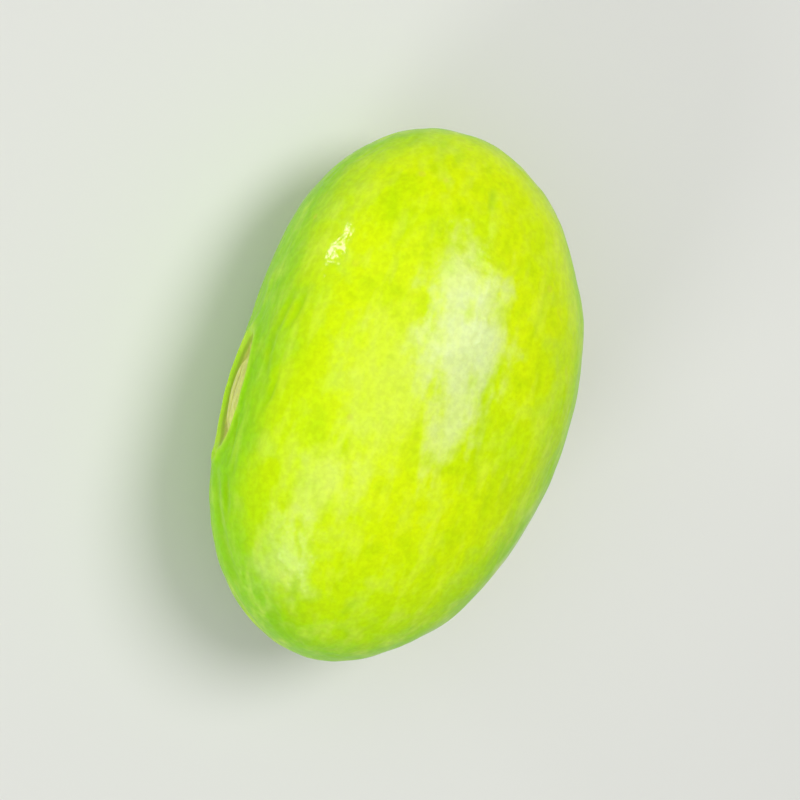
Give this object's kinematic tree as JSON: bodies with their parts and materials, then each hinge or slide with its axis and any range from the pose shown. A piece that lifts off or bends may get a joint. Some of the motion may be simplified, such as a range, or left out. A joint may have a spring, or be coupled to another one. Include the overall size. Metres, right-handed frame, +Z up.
{
  "type": "shelled edamame bean",
  "caption": "Plump oval green soybean seed out of its pod, with its scar and root ridge on one long side, lying on its broad side.",
  "frame": {"origin": "on the surface that the bean rests on, below the middle of its box", "axes": "+Z up, through both seed leaves; X along the bean, with the root's end at +X; the hilum faces -Y"},
  "size_m": [0.0172, 0.0108, 0.0087],
  "materials": {
    "seed_coat": "moist, thin, slightly see-through seed coat over pale green seed leaves, blanched"
  },
  "bodies": {
    "root": {"bean": "seed_coat"}
  },
  "joints": []
}
